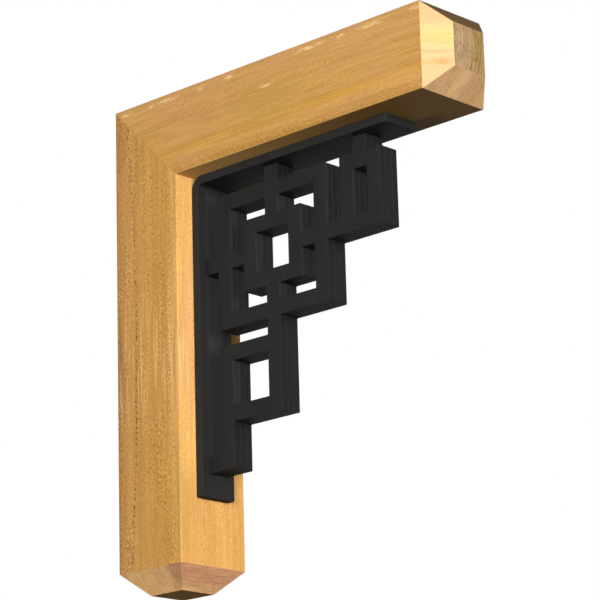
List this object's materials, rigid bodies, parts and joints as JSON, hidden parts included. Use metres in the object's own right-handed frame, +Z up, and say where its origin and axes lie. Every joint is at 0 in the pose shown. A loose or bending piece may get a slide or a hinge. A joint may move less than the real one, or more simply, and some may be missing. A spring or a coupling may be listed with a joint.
{
  "type": "corbel bracket",
  "caption": "Square-timber corbel bracket with a mitred corner and chamfered ends, braced by a bent iron strap and a stepped openwork iron fret in the angle.",
  "frame": {"origin": "middle of the post's flat back face, where the bracket is fixed to the wall", "axes": "+X out from the wall along the arm, +Y across the bracket's width, +Z up along the post"},
  "size_m": [0.7, 0.14, 0.805],
  "materials": {
    "timber": "golden stained timber, fine open grain, satin",
    "iron": "charcoal black coated iron, matt"
  },
  "bodies": {
    "root": {"timber_post": "timber", "timber_arm": "timber", "iron_strap": "iron", "fretwork_plate_1": "iron", "fretwork_plate_2": "iron", "fretwork_plate_3": "iron"}
  },
  "joints": []
}
